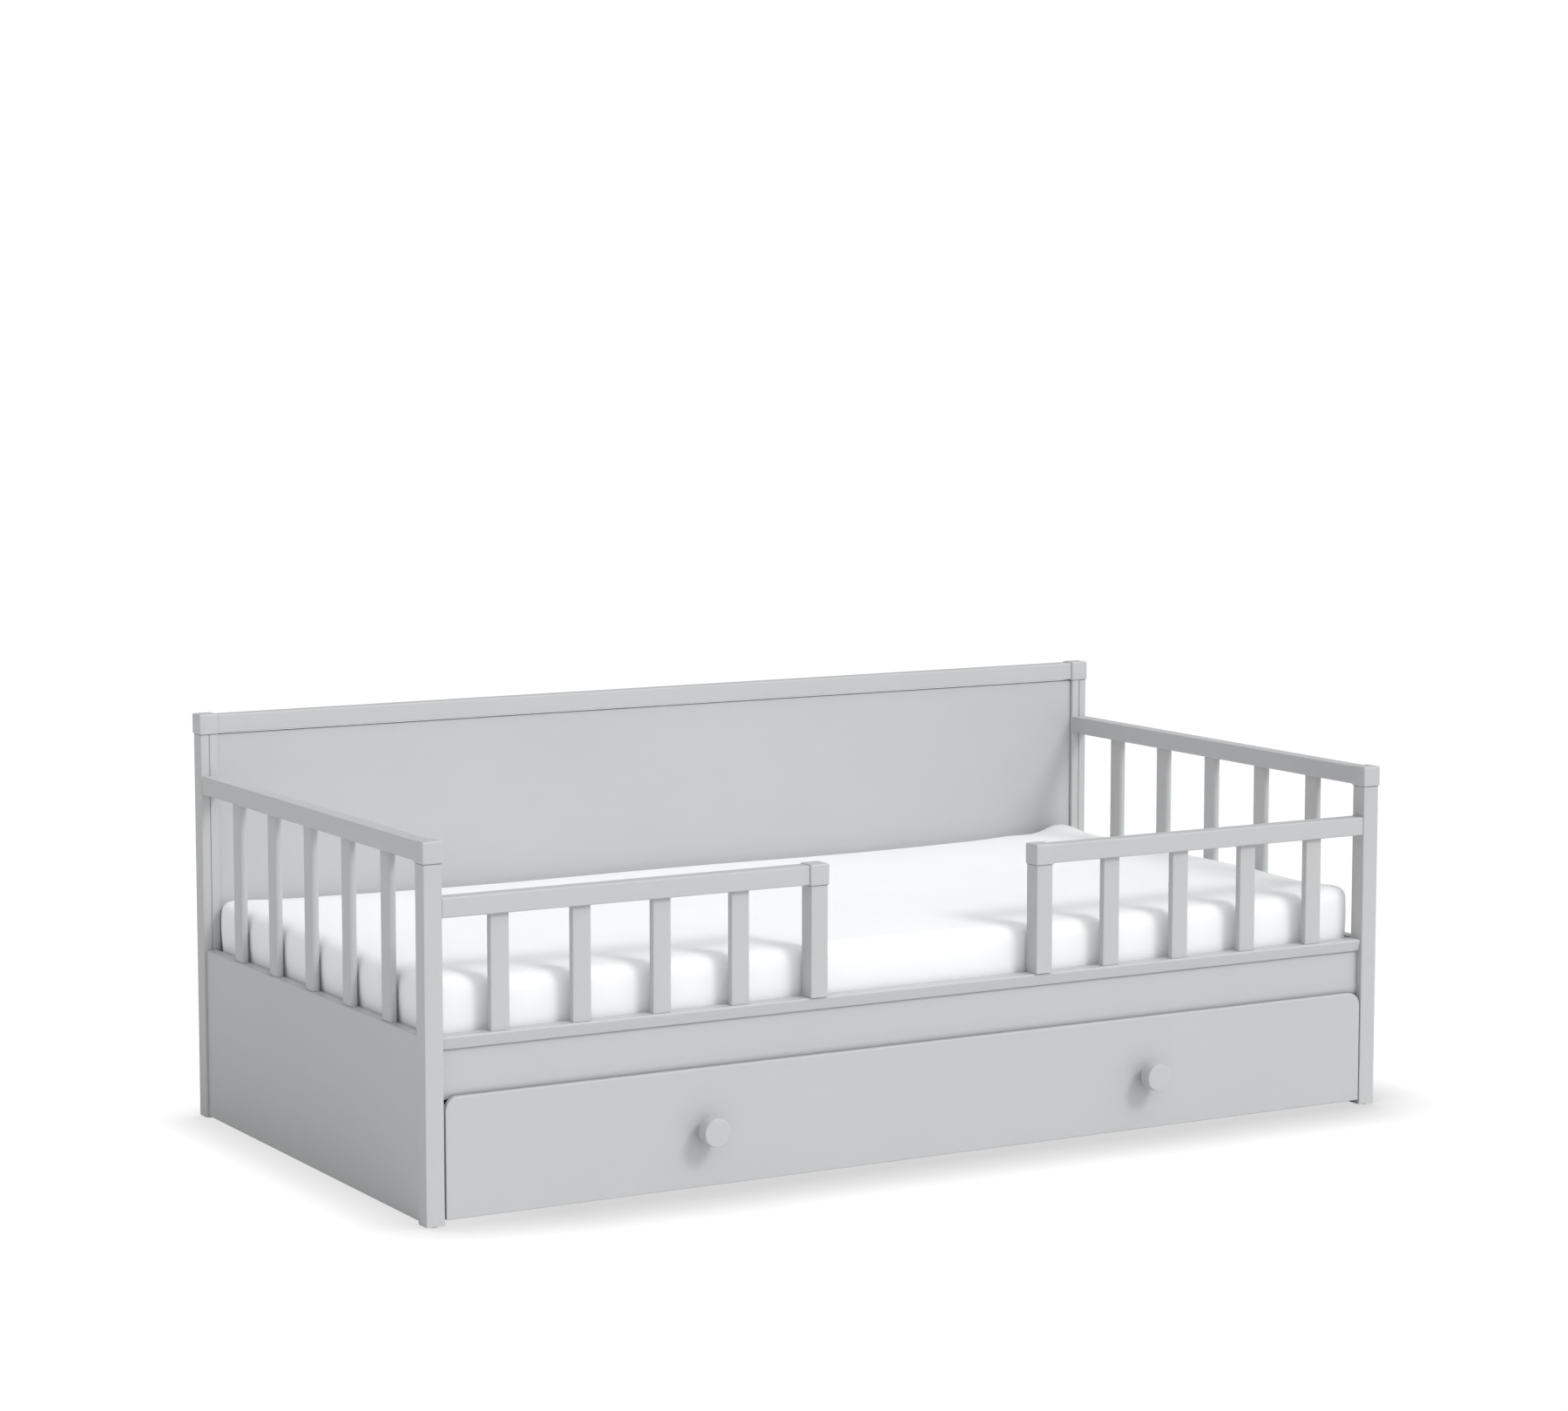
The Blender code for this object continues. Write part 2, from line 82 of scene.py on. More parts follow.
# White floor and backdrop. The contact shadow is narrower and paler past the bed's left end
BACKDROP = 1.04
FLOOR_BOUNCE = 0.78
FLOOR_RADIUS = 60.0
FLOOR_SIDES = 96
SHADE_REACH = 0.155
SHADE_REACH_LEFT = 0.105
SHADE_BLEND = 0.22
SHADE_CURVE = 1.6
SHADE_DARKEST = 0.66
SHADE_DARKEST_LEFT = 0.76
SHADE_SAMPLES = 8
FLAT_WALL_AO = 0.5

# Colours, linear
GREY_PAINT = (0.489, 0.499, 0.507)
WHITE_COTTON = (0.915, 0.922, 0.932)
PINE_LIGHT = (0.700, 0.500, 0.290)
PINE_DARK = (0.520, 0.330, 0.165)
TAPE_COTTON = (0.690, 0.670, 0.610)
LINER_BOARD = (0.700, 0.706, 0.712)
FOOT_BLACK = (0.030, 0.030, 0.032)
WHEEL_GREY = (0.120, 0.124, 0.130)
ZINC = (0.560, 0.570, 0.585)

# Shading: the angle past which an edge stays sharp
WELD_DISTANCE = 1e-5
CAD_SHARP = radians(50)
TURNED_SHARP = radians(40)
TAPE_SHARP = radians(40)
SLAT_SHARP = radians(60)

# Materials: what counts as a worn edge, the pitch of a weave, and how far grain is drawn out
FLAT_DOT = 0.995
WORN_DOT = 0.90
PAINT_WEAR = 0.0022
PLASTIC_WEAR = 0.0008
COVER_WEAVE = 0.0011
TAPE_WEAVE = 0.0018
PAINTED_GRAIN = 0.045
BARE_GRAIN = 0.05

# Mattress
MATTRESS_CELL = 0.0115
MATTRESS_SINK = 0.004
MATTRESS_SWELL = 0.004
END_BULGE = 0.0030
CORNER_RADIUS = 0.022
CORNER_CRISP = 0.60
CORNER_CRISP_REACH = 0.060
TOP_ROUNDING = 0.026
BOTTOM_ROUNDING = 0.012
BULGE_SHARE = 0.04
CLOTH_FRAMES = 20
CLOTH_PINNED = 0.002
COVER_CLOTH = {
    "quality": 4,
    "mass": 0.25,
    "tension_stiffness": 12.0,
    "compression_stiffness": 12.0,
    "shear_stiffness": 6.0,
    "bending_stiffness": 0.6,
    "use_pressure": True,
    "uniform_pressure_force": 4.0,
}

# Relief of the mattress's top. A ripple is (rise, radians a metre along X and along Y, phase)
ENDS_RISE = 0.0060
CROWN_RISE = 0.0025
BACK_PEAK_RISE = 0.0115
BACK_PEAK_INSET = (0.047, 0.015)
BACK_PEAK_SPREAD = (0.031, 0.050)
FRONT_PEAK_RISE = 0.0038
FRONT_PEAK_INSET = 0.02
FRONT_PEAK_SPREAD = 0.035
FOLD_RISE = 0.0015
FOLD_INSET = 0.16
FOLD_SLANT = 0.25
FOLD_SPREAD = 0.035
RIPPLES = ((0.0006, 9.0, 4.0, 0.0), (0.0005, -6.0, 17.0, 1.0))
RELIEF_DROP = 0.0055

# Room that the cover leaves to the frame, and how it presses between the spindles
PANEL_ROOM = 0.0005
SPINDLE_ROOM = 0.0004
LEDGE_ROOM = 0.0006
PRESS_RISE = 0.012
SPINDLE_PRINT = 0.008
SPINDLE_PRINT_POWER = 6
BACK_FADE_START = 0.02
BACK_FADE = 0.06

# Corner seams of the cover and their stitches
SEAM_START = 0.030
SEAM_RADIUS = 0.0006
SEAM_STEPS = 24
SEAM_TUCK = 0.012
SEAM_SEEK = 0.1
SEAM_GATHER = 1.8
SEAM_GATHER_AT = 11
SEAM_GATHER_SPREAD = 3.0
STITCH_LENGTH = 0.0026
STITCH_PITCH = 0.0042
STITCH_RADIUS = 0.00032
STITCH_OFFSET = 0.0020
STITCH_LIFT = 0.6
STITCH_POINTS = (-0.5, -0.4, 0.0, 0.4, 0.5)
STITCH_TAPER = (0.35, 0.8, 1.0, 0.8, 0.35)

# Knobs, wheels and screws, turned about their own axes
TURNED_SIDES = 96
KNOB_HEAD = 0.0212
KNOB_STEM = 0.0085
KNOB_STEM_FLARE = ((1.30, 0.0), (1.30, 0.0006), (1.08, 0.0030), (1.0, 0.0060))
KNOB_NECK = (0.0014, 0.002)
KNOB_BACK_EDGE = 0.0018
KNOB_FACE_EDGE = 0.0014
KNOB_FACE_RING = 0.6
PIN_LENGTH = 0.013
PIN_RADIUS = 0.004
PIN_TIP = 0.0032
PIN_CHAMFER = 0.0008
WHEEL_RIBS = 6
RIB_HEIGHT = 0.0020
RIB_FROM, RIB_TO = 0.0062, 0.0134
RIB_ABOVE = 0.005
RIB_STARTS, RIB_SLOPE = 0.72, 0.16
SCREW_RADIUS = 0.004
SCREW_DOME = 0.0019
SCREW_RIM = 0.0002
SCREW_DOME_POWER = 2.4
SCREW_SIDES = 72
SCREW_STEPS = 12
CROSS_HALF_WIDTH = 0.14
CROSS_REACH = 0.58
CROSS_DEPTH = 0.5

# A wheel's section as (radius, height). The dish, hub and eye are measured from the outer face,
# the rest from the inner one. A groove's section starts at its own middle on the tread
WHEEL_INNER = ((PIN_RADIUS, -0.0004), (0.0052, 0.0), (0.0150, 0.0))
WHEEL_TREAD_EDGE = 0.0020
WHEEL_INNER_EDGE = (0.0026, 0.0004)
TREAD_GROOVES = (0.35, 0.65)
GROOVE_SECTION = ((0.0, -0.0006), (-0.0005, -0.0003), (-0.0005, 0.0003), (0.0, 0.0006))
WHEEL_DISH = ((0.0148, 0.0), (0.0140, -0.0004), (0.0133, -0.0028), (0.0115, -0.0030), (0.0090, -0.0030))
WHEEL_HUB = ((0.0066, -0.0030), (0.0060, -0.0026), (0.0056, -0.0006), (0.0050, -0.0002))
WHEEL_EYE = ((0.0022, -0.0002), (0.0017, -0.0012), (0.0, -0.0012))

# Screws of the drawer and the support rails: how deep they sit, and where
DRAWER_SCREW_SINK = 0.0014
DRAWER_SCREW_LEVELS = (("lower", 0.25), ("upper", 0.78))
RAIL_SCREW_SINK = 0.0012
RAIL_SCREW_COUNT = 5

# Slatted base
SLAT_COUNT = 14
SLAT_WIDTH = 0.070
SLAT_THICKNESS = 0.014
SLAT_EDGE = 0.002
TAPE_INSET = 0.070
TAPE_HALF_WIDTH = 0.0125
TAPE_THICKNESS = 0.0012
TAPE_SAG = 0.0022
TAPE_STEPS = 12
TAPE_TAIL = 3
STAPLE_HALF = 0.005
STAPLE_WIRE = 0.0005
STAPLE_APART = 0.018
STAPLE_SHAPE = ((-1, -0.0015), (-1, 0), (-0.9, 0.0003), (0.9, 0.0003), (1, 0), (1, -0.0015))


class Graph:
    """Adds nodes to a shader or geometry tree, and links them."""

    def __init__(self, tree):
        self.tree = tree

    def add(self, kind, *values, **settings):
        """One node. values fill its inputs in order, settings its properties or its inputs by name."""
        node = self.tree.nodes.new(kind)
        by_name = {}
        for name, value in settings.items():
            if hasattr(node, name):
                setattr(node, name, value)
            else:
                by_name[name.replace("_", " ")] = value
        for place, value in [*enumerate(values), *by_name.items()]:
            if value is not None:
                self.feed(node, place, value)
        return node

    def feed(self, node, place, value):
        socket = node.inputs[place]
        if isinstance(value, bpy.types.NodeSocket):
            self.tree.links.new(value, socket)
        else:
            socket.default_value = value

    def math(self, operation, *values):
        return self.add("ShaderNodeMath", *values, operation=operation).outputs[0]

    def noise(self, vector, scale, detail=3.0, roughness=0.5):
        node = self.add("ShaderNodeTexNoise", vector, Scale=scale, Detail=detail, Roughness=roughness)
        return node.outputs["Fac"]

    def ramp(self, value, low, high, to_low=0.0, to_high=1.0):
        node = self.add("ShaderNodeMapRange", value, low, high, to_low, to_high)
        return node.outputs[0]

    def mix(self, share, color_a, color_b):
        node = self.add("ShaderNodeMix", data_type="RGBA")
        self.feed(node, 0, share)
        self.feed(node, 6, color_a)
        self.feed(node, 7, color_b)
        return node.outputs[2]

    def stretch(self, vector, scale):
        node = self.add("ShaderNodeMapping", vector)
        self.feed(node, "Scale", scale)
        return node.outputs[0]


def opaque(color):
    return (*color, 1.0)


def lighter(color, share):
    return opaque([channel * (1 + share) for channel in color])


def new_material(name, roughness, **constants):
    """A Principled material. Returns it with its graph, its shader and the place of a point on the piece."""
    material = bpy.data.materials.new(name)
    material.use_nodes = True
    graph = Graph(material.node_tree)
    shader = material.node_tree.nodes["Principled BSDF"]
    shader.inputs["Roughness"].default_value = roughness
    for socket, value in constants.items():
        shader.inputs[socket.replace("_", " ")].default_value = value
    place = graph.add("ShaderNodeTexCoord").outputs["Object"]
    return material, graph, shader, place


def raise_surface(graph, shader, heights):
    """Chains a Bump for each (height, depth in metres)."""
    normal = None
    for height, depth in heights:
        bump = graph.add("ShaderNodeBump", Height=height, Distance=depth, Strength=1.0, Normal=normal)
        normal = bump.outputs[0]
    graph.feed(shader, "Normal", normal)


def edge_wear(graph, radius):
    """1 where the surface turns over an edge within radius, 0 on a flat."""
    rounded = graph.add("ShaderNodeBevel", radius, samples=4).outputs[0]
    flat = graph.add("ShaderNodeNewGeometry").outputs["Normal"]
    dot = graph.add("ShaderNodeVectorMath", rounded, flat, operation="DOT_PRODUCT")
    return graph.ramp(dot.outputs["Value"], FLAT_DOT, WORN_DOT)


def painted(name, grain):
    """Satin paint over wood: faint grain along the grain axis, roller texture, thinner on the edges."""
    satin = {"Coat_Weight": 0.06, "Coat_Roughness": 0.30, "Specular_IOR_Level": 0.40}
    material, graph, shader, place = new_material(name, 0.42, **satin)
    along = [1.0, 1.0, 1.0]
    along[grain] = PAINTED_GRAIN
    piece = graph.add("ShaderNodeObjectInfo").outputs["Random"]
    shift = graph.add("ShaderNodeVectorMath", place, operation="ADD")
    graph.feed(shift, 1, graph.add("ShaderNodeCombineXYZ", piece, piece, piece).outputs[0])
    fibres = graph.noise(graph.stretch(shift.outputs[0], along), 210.0, 4.0, 0.62)
    clouds = graph.noise(shift.outputs[0], 5.0, 2.0)
    stipple = graph.noise(place, 620.0, 2.0, 0.6)
    worn = edge_wear(graph, PAINT_WEAR)
    tone = graph.mix(graph.ramp(clouds, 0.3, 0.7), lighter(GREY_PAINT, -0.012), lighter(GREY_PAINT, 0.012))
    tone = graph.mix(graph.ramp(fibres, 0.35, 0.75, 0.0, 0.35), tone, lighter(GREY_PAINT, -0.03))
    tone = graph.mix(graph.math("MULTIPLY", worn, 0.5), tone, lighter(GREY_PAINT, 0.035))
    graph.feed(shader, "Base Color", tone)
    sheen = graph.math("ADD", graph.ramp(clouds, 0.3, 0.7, 0.38, 0.46), graph.math("MULTIPLY", worn, 0.08))
    graph.feed(shader, "Roughness", sheen)
    raise_surface(graph, shader, [(fibres, 0.00006), (stipple, 0.00004)])
    return material


def weave(graph, place, pitch):
    """Height of a plain weave on a surface that faces any way: threads cross along the two flat axes."""
    turn = tau / pitch
    parts = graph.add("ShaderNodeSeparateXYZ", place)
    waves = [graph.math("SINE", graph.math("MULTIPLY", part, turn)) for part in parts.outputs]
    normal = graph.add("ShaderNodeSeparateXYZ", graph.add("ShaderNodeNewGeometry").outputs["Normal"])
    height = 0.0
    for axis in range(3):
        share = graph.math("POWER", graph.math("ABSOLUTE", normal.outputs[axis]), 4.0)
        crossing = graph.math("MULTIPLY", waves[axis - 1], waves[axis - 2])
        height = graph.math("MULTIPLY_ADD", crossing, share, height)
    return graph.ramp(height, -1.0, 1.0)


def cotton():
    """Smooth white jersey of the mattress cover."""
    fine = {"Sheen_Weight": 0.25, "Sheen_Roughness": 0.45, "Specular_IOR_Level": 0.30}
    material, graph, shader, place = new_material("white_cotton_jersey", 0.88, **fine)
    threads = weave(graph, place, COVER_WEAVE)
    slubs = graph.noise(graph.stretch(place, (1.0, 6.0, 6.0)), 160.0, 3.0)
    clouds = graph.noise(place, 4.0, 3.0)
    tone = graph.mix(graph.ramp(clouds, 0.3, 0.7), lighter(WHITE_COTTON, -0.015), lighter(WHITE_COTTON, 0.01))
    tone = graph.mix(graph.ramp(threads, 0.0, 1.0, 0.25, 0.0), tone, lighter(WHITE_COTTON, -0.10))
    graph.feed(shader, "Base Color", tone)
    graph.feed(shader, "Roughness", graph.ramp(slubs, 0.3, 0.7, 0.82, 0.94))
    raise_surface(graph, shader, [(clouds, 0.0015), (slubs, 0.00012), (threads, 0.00010)])
    return material


def webbing():
    """Cotton tape that spaces the slats."""
    material, graph, shader, place = new_material("cotton_tape", 0.9, Sheen_Weight=0.2)
    threads = weave(graph, place, TAPE_WEAVE)
    fuzz = graph.noise(place, 900.0, 3.0)
    tone = graph.mix(threads, lighter(TAPE_COTTON, -0.22), opaque(TAPE_COTTON))
    tone = graph.mix(graph.ramp(fuzz, 0.4, 0.8, 0.0, 0.4), tone, lighter(TAPE_COTTON, 0.15))
    graph.feed(shader, "Base Color", tone)
    graph.feed(shader, "Roughness", graph.ramp(fuzz, 0.2, 0.8, 0.82, 0.96))
    raise_surface(graph, shader, [(threads, 0.0003), (fuzz, 0.0001)])
    return material


def pine(name, grain):
    """Planed bare pine with growth rings drawn out along the grain axis."""
    material, graph, shader, place = new_material(name, 0.6)
    along = [1.0, 1.0, 1.0]
    along[grain] = BARE_GRAIN
    piece = graph.add("ShaderNodeObjectInfo").outputs["Random"]
    drawn = graph.stretch(place, along)
    warp = graph.noise(drawn, 9.0, 3.0, 0.55)
    rings = graph.math("SINE", graph.math("MULTIPLY", graph.math("ADD", warp, piece), 95.0))
    fibres = graph.noise(drawn, 900.0, 3.0, 0.6)
    knots = graph.noise(place, 14.0, 1.0)
    tone = graph.mix(graph.ramp(rings, -1.0, 1.0), opaque(PINE_LIGHT), opaque(PINE_DARK))
    tone = graph.mix(graph.ramp(fibres, 0.35, 0.75, 0.0, 0.5), tone, lighter(PINE_LIGHT, 0.12))
    tone = graph.mix(graph.ramp(knots, 0.72, 0.80, 0.0, 0.8), tone, lighter(PINE_DARK, -0.45))
    graph.feed(shader, "Base Color", tone)
    graph.feed(shader, "Roughness", graph.ramp(rings, -1.0, 1.0, 0.52, 0.68))
    raise_surface(graph, shader, [(rings, 0.00008), (fibres, 0.00012)])
    return material


def liner():
    """Thin coated board of the drawer bottom."""
    material, graph, shader, place = new_material("coated_liner_board", 0.5)
    fibres = graph.noise(graph.stretch(place, (0.25, 1.0, 1.0)), 420.0, 4.0, 0.65)
    specks = graph.noise(place, 1400.0, 2.0)
    clouds = graph.noise(place, 3.0, 2.0)
    tone = graph.mix(graph.ramp(clouds, 0.3, 0.7), lighter(LINER_BOARD, -0.02), lighter(LINER_BOARD, 0.02))
    tone = graph.mix(graph.ramp(specks, 0.60, 0.72, 0.0, 0.4), tone, lighter(LINER_BOARD, -0.15))
    graph.feed(shader, "Base Color", tone)
    graph.feed(shader, "Roughness", graph.ramp(fibres, 0.3, 0.7, 0.44, 0.58))
    raise_surface(graph, shader, [(fibres, 0.00006)])
    return material


def moulded(name, color, roughness):
    """Moulded plastic: fine spark texture, scuffed paler on its edges."""
    material, graph, shader, place = new_material(name, roughness)
    sparks = graph.noise(place, 1800.0, 2.0)
    scuffs = graph.noise(graph.stretch(place, (1.0, 3.0, 1.0)), 240.0, 4.0, 0.7)
    worn = graph.math("MULTIPLY", edge_wear(graph, PLASTIC_WEAR), graph.ramp(scuffs, 0.35, 0.65))
    tone = graph.mix(graph.ramp(scuffs, 0.3, 0.7), lighter(color, -0.08), lighter(color, 0.10))
    graph.feed(shader, "Base Color", graph.mix(graph.math("MULTIPLY", worn, 0.6), tone, lighter(color, 1.2)))
    graph.feed(shader, "Roughness", graph.ramp(scuffs, 0.3, 0.7, roughness - 0.05, roughness + 0.12))
    raise_surface(graph, shader, [(sparks, 0.00004)])
    return material


def zinc():
    """Bright zinc plate with a fine turned brush and dull spots."""
    material, graph, shader, place = new_material("zinc_plated_steel", 0.34, Metallic=1.0)
    brush = graph.noise(graph.stretch(place, (1.0, 1.0, 14.0)), 700.0, 3.0)
    spots = graph.noise(place, 260.0, 3.0, 0.6)
    tone = graph.mix(graph.ramp(spots, 0.35, 0.7), opaque(ZINC), lighter(ZINC, -0.18))
    graph.feed(shader, "Base Color", tone)
    graph.feed(shader, "Roughness", graph.ramp(spots, 0.3, 0.7, 0.28, 0.46))
    raise_surface(graph, shader, [(brush, 0.00003)])
    return material


def smoothing_group():
    """Geometry nodes that weld a CAD solid's triangles and shade it smooth except at square edges."""
    tree = bpy.data.node_groups.new("smooth_eased_edges", "GeometryNodeTree")
    for way in ("INPUT", "OUTPUT"):
        tree.interface.new_socket("Geometry", in_out=way, socket_type="NodeSocketGeometry")
    graph = Graph(tree)
    source = graph.add("NodeGroupInput").outputs[0]
    welded = graph.add("GeometryNodeMergeByDistance", source, Distance=WELD_DISTANCE).outputs[0]
    smooth = graph.add("GeometryNodeSetShadeSmooth", welded, domain="FACE").outputs[0]
    angle = graph.add("GeometryNodeInputMeshEdgeAngle").outputs["Unsigned Angle"]
    square = graph.add("FunctionNodeCompare", angle, CAD_SHARP, operation="GREATER_THAN").outputs[0]
    sharp = graph.add("GeometryNodeSetShadeSmooth", smooth, square, False, domain="EDGE").outputs[0]
    graph.add("NodeGroupOutput", sharp)
    return tree


def finish_cad(materials):
    """Gives each carried-over node smooth eased edges and the material of its slot."""
    group = smoothing_group()
    for name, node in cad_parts.items():
        normals = node.data.attributes.get("custom_normal")
        if normals:
            node.data.attributes.remove(normals)
        node.modifiers.new("Smooth eased edges", "NODES").node_group = group
        flats = node.modifiers.new("Flat faces stay flat", "WEIGHTED_NORMAL")
        flats.keep_sharp = True
        low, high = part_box(name)
        sides = high - low
        grain = max(range(3), key=lambda axis: sides[axis])
        for place in node.material_slots:
            choice = materials[place.material.name.split(".")[0]]
            place.material = choice[grain] if isinstance(choice, list) else choice


def mesh_object(name, bm, *materials):
    mesh = bpy.data.meshes.new(name)
    bm.to_mesh(mesh)
    bm.free()
    for material in materials:
        mesh.materials.append(material)
    obj = bpy.data.objects.new(name, mesh)
    bpy.context.scene.collection.objects.link(obj)
    mesh.shade_smooth()
    return obj


def box_lattice(low, high, cell):
    """A closed box of square cells, as a bmesh."""
    counts = [max(2, round((b - a) / cell)) for a, b in zip(low, high)]
    bm = bmesh.new()
    found = {}

    def corner(spot):
        if spot not in found:
            place = [a + (b - a) * n / count for a, b, n, count in zip(low, high, spot, counts)]
            found[spot] = bm.verts.new(place)
        return found[spot]

    for axis in range(3):
        u, v = (axis + 1) % 3, (axis + 2) % 3
        for end in (0, counts[axis]):
            for i in range(counts[u]):
                for j in range(counts[v]):
                    loop = []
                    for du, dv in ((0, 0), (1, 0), (1, 1), (0, 1)):
                        spot = [0, 0, 0]
                        spot[axis], spot[u], spot[v] = end, i + du, j + dv
                        loop.append(corner(tuple(spot)))
                    bm.faces.new(loop if end else loop[::-1])
    return bm


def round_box(bm, low, high, side, top, bottom):
    """Turns the lattice's edges into elliptical arcs: side is the plan radius, top and bottom the drops."""
    middle = (low.z + high.z) / 2
    for vert in bm.verts:
        away = [min(abs(vert.co[n] - low[n]), abs(vert.co[n] - high[n])) for n in (0, 1)]
        crisp = CORNER_CRISP * exp(-(away[0] ** 2 + away[1] ** 2) / CORNER_CRISP_REACH**2)
        drop = top * (1 - crisp) if vert.co.z > middle else bottom
        radii = Vector((side, side, drop))
        core = Vector([min(max(c, a + r), b - r) for c, a, b, r in zip(vert.co, low, high, radii)])
        out = Vector([(c - k) / r for c, k, r in zip(vert.co, core, radii)])
        if out.length > 0:
            out *= 1 / out.length
            vert.co = core + Vector([part * r for part, r in zip(out, radii)])


def mattress_relief(x, y, half_x, half_y):
    """How far the top of the mattress stands above or below its plain height."""
    along, across = x / half_x, y / half_y
    ends = ENDS_RISE * abs(along) ** 3
    crown = CROWN_RISE * (1 - across**2)
    u = (x - half_x + BACK_PEAK_INSET[0]) / BACK_PEAK_SPREAD[0]
    v = (y - half_y + BACK_PEAK_INSET[1]) / BACK_PEAK_SPREAD[1]
    corner = BACK_PEAK_RISE * exp(-(u**2 + v**2))
    u, v = abs(x) - half_x + FRONT_PEAK_INSET, y + half_y - FRONT_PEAK_INSET
    corner += FRONT_PEAK_RISE * exp(-(u**2 + v**2) / FRONT_PEAK_SPREAD**2)
    from_fold = (x - half_x + FOLD_INSET) - FOLD_SLANT * (half_y - y)
    fold = FOLD_RISE * exp(-((from_fold / FOLD_SPREAD) ** 2))
    ripple = sum(rise * sin(a * x + b * y + phase) for rise, a, b, phase in RIPPLES)
    return ends + crown + corner + fold + ripple - RELIEF_DROP


def simulate_cloth(obj, pinned):
    """Blows the cover up a little from inside, with its base held, and applies the result."""
    group = obj.vertex_groups.new(name="base")
    group.add(pinned, 1.0, "REPLACE")
    cloth = obj.modifiers.new("Cover", "CLOTH")
    settings = cloth.settings
    for setting, value in COVER_CLOTH.items():
        setattr(settings, setting, value)
    settings.effector_weights.gravity = 0.0
    settings.vertex_group_mass = group.name
    cloth.point_cache.frame_start, cloth.point_cache.frame_end = 1, CLOTH_FRAMES
    scene = bpy.context.scene
    for step in range(1, CLOTH_FRAMES + 1):
        scene.frame_set(step)
    graph = bpy.context.evaluated_depsgraph_get()
    blown = obj.evaluated_get(graph).to_mesh()
    moved = np.empty(len(blown.vertices) * 3)
    blown.vertices.foreach_get("co", moved)
    obj.modifiers.remove(cloth)
    obj.vertex_groups.remove(group)
    scene.frame_set(1)
    return moved.reshape(-1, 3)


def points_of(mesh):
    points = np.empty(len(mesh.vertices) * 3)
    mesh.vertices.foreach_get("co", points)
    return points.reshape(-1, 3)


def capped(moves, most):
    """Each move shortened smoothly so that none is longer than most."""
    lengths = np.linalg.norm(moves, axis=1, keepdims=True)
    return moves * most * np.tanh(lengths / most) / np.maximum(lengths, 1e-9)


def hold_in_frame(points):
    """Keeps the cover off the ledge, the panels, the spindles and the slatted base.

    Between the spindles it bulges out a little, except at the back corners.
    """
    panel_low, panel_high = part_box("side_panel_right")
    spindles = [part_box(f"spindle_right_{n}") for n in range(1, 6)]
    panel = panel_low.x - PANEL_ROOM
    pressed = spindles[0][0].x - SPINDLE_ROOM
    rise = np.clip((points[:, 2] - panel_high.z) / PRESS_RISE, 0, 1)
    bay = np.ones(len(points))
    for low, high in spindles:
        middle, half = (low.y + high.y) / 2, (high.y - low.y) / 2
        away = (points[:, 1] - middle) / (half + SPINDLE_PRINT)
        bay *= 1 - np.exp(-(away**SPINDLE_PRINT_POWER))
    from_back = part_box("mattress")[1].y - points[:, 1]
    rise *= np.clip((from_back - BACK_FADE_START) / BACK_FADE, 0, 1)
    reach = panel + rise * (pressed - panel + END_BULGE * bay)
    points[:, 0] = np.clip(points[:, 0], -reach, reach)
    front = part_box("front_ledge")[1].y + LEDGE_ROOM
    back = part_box("back_panel")[0].y - LEDGE_ROOM
    points[:, 1] = np.clip(points[:, 1], front, back)
    points[:, 2] = np.maximum(points[:, 2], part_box("mattress")[0].z)
    return points


def bulge(z, low, high):
    """0 at low and high, 1 midway."""
    return sin(pi * min(max((z - low) / (high - low), 0.0), 1.0))


def make_mattress(fabric):
    """The mattress in its white cover: a rounded block, swollen as cloth and held by the frame."""
    low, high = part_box("mattress")
    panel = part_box("side_panel_right")
    start = Vector((-panel[0].x, low.y, low.z))
    end = Vector((panel[0].x, high.y, high.z - MATTRESS_SINK))
    bm = box_lattice(start, end, MATTRESS_CELL)
    round_box(bm, start, end, CORNER_RADIUS, TOP_ROUNDING, BOTTOM_ROUNDING)
    middle = (start + end) / 2
    half = (end - start) / 2
    for vert in bm.verts:
        share = max(0.0, (vert.co.z - middle.z) / half.z)
        vert.co.z += share * mattress_relief(vert.co.x - middle.x, vert.co.y - middle.y, half.x, half.y)
        near_end = max(0.0, abs(vert.co.x) / half.x - (1 - BULGE_SHARE)) / BULGE_SHARE
        vert.co.x += copysign(near_end * END_BULGE * bulge(vert.co.z, panel[1].z, end.z), vert.co.x)
    obj = mesh_object("mattress_in_cover", bm, fabric)
    rest = points_of(obj.data)
    pinned = [int(n) for n in np.flatnonzero(rest[:, 2] < start.z + CLOTH_PINNED)]
    rest = rest + capped(simulate_cloth(obj, pinned) - rest, MATTRESS_SWELL)
    obj.data.vertices.foreach_set("co", hold_in_frame(rest).ravel())
    obj.data.update()
    finer = obj.modifiers.new("Finer cells", "SUBSURF")
    finer.levels = finer.render_levels = 1
    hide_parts("mattress")
    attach(obj, "bed")
    return obj


def placed(obj, center, toward, body, nodes=()):
    """Stands a turned piece on center with its axis along toward, and hangs it on its body."""
    turn = Vector(toward).to_track_quat("Z", "Y").to_matrix().to_4x4()
    obj.matrix_world = Matrix.Translation(center) @ turn
    if nodes:
        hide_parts(*nodes)
    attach(obj, body)
    return obj


def quarter(center, radius, start, steps=6):
    """Points of a quarter circle from start degrees, anticlockwise."""
    angles = [radians(start + 90 * n / steps) for n in range(steps + 1)]
    return [(center[0] + radius * cos(a), center[1] + radius * sin(a)) for a in angles]


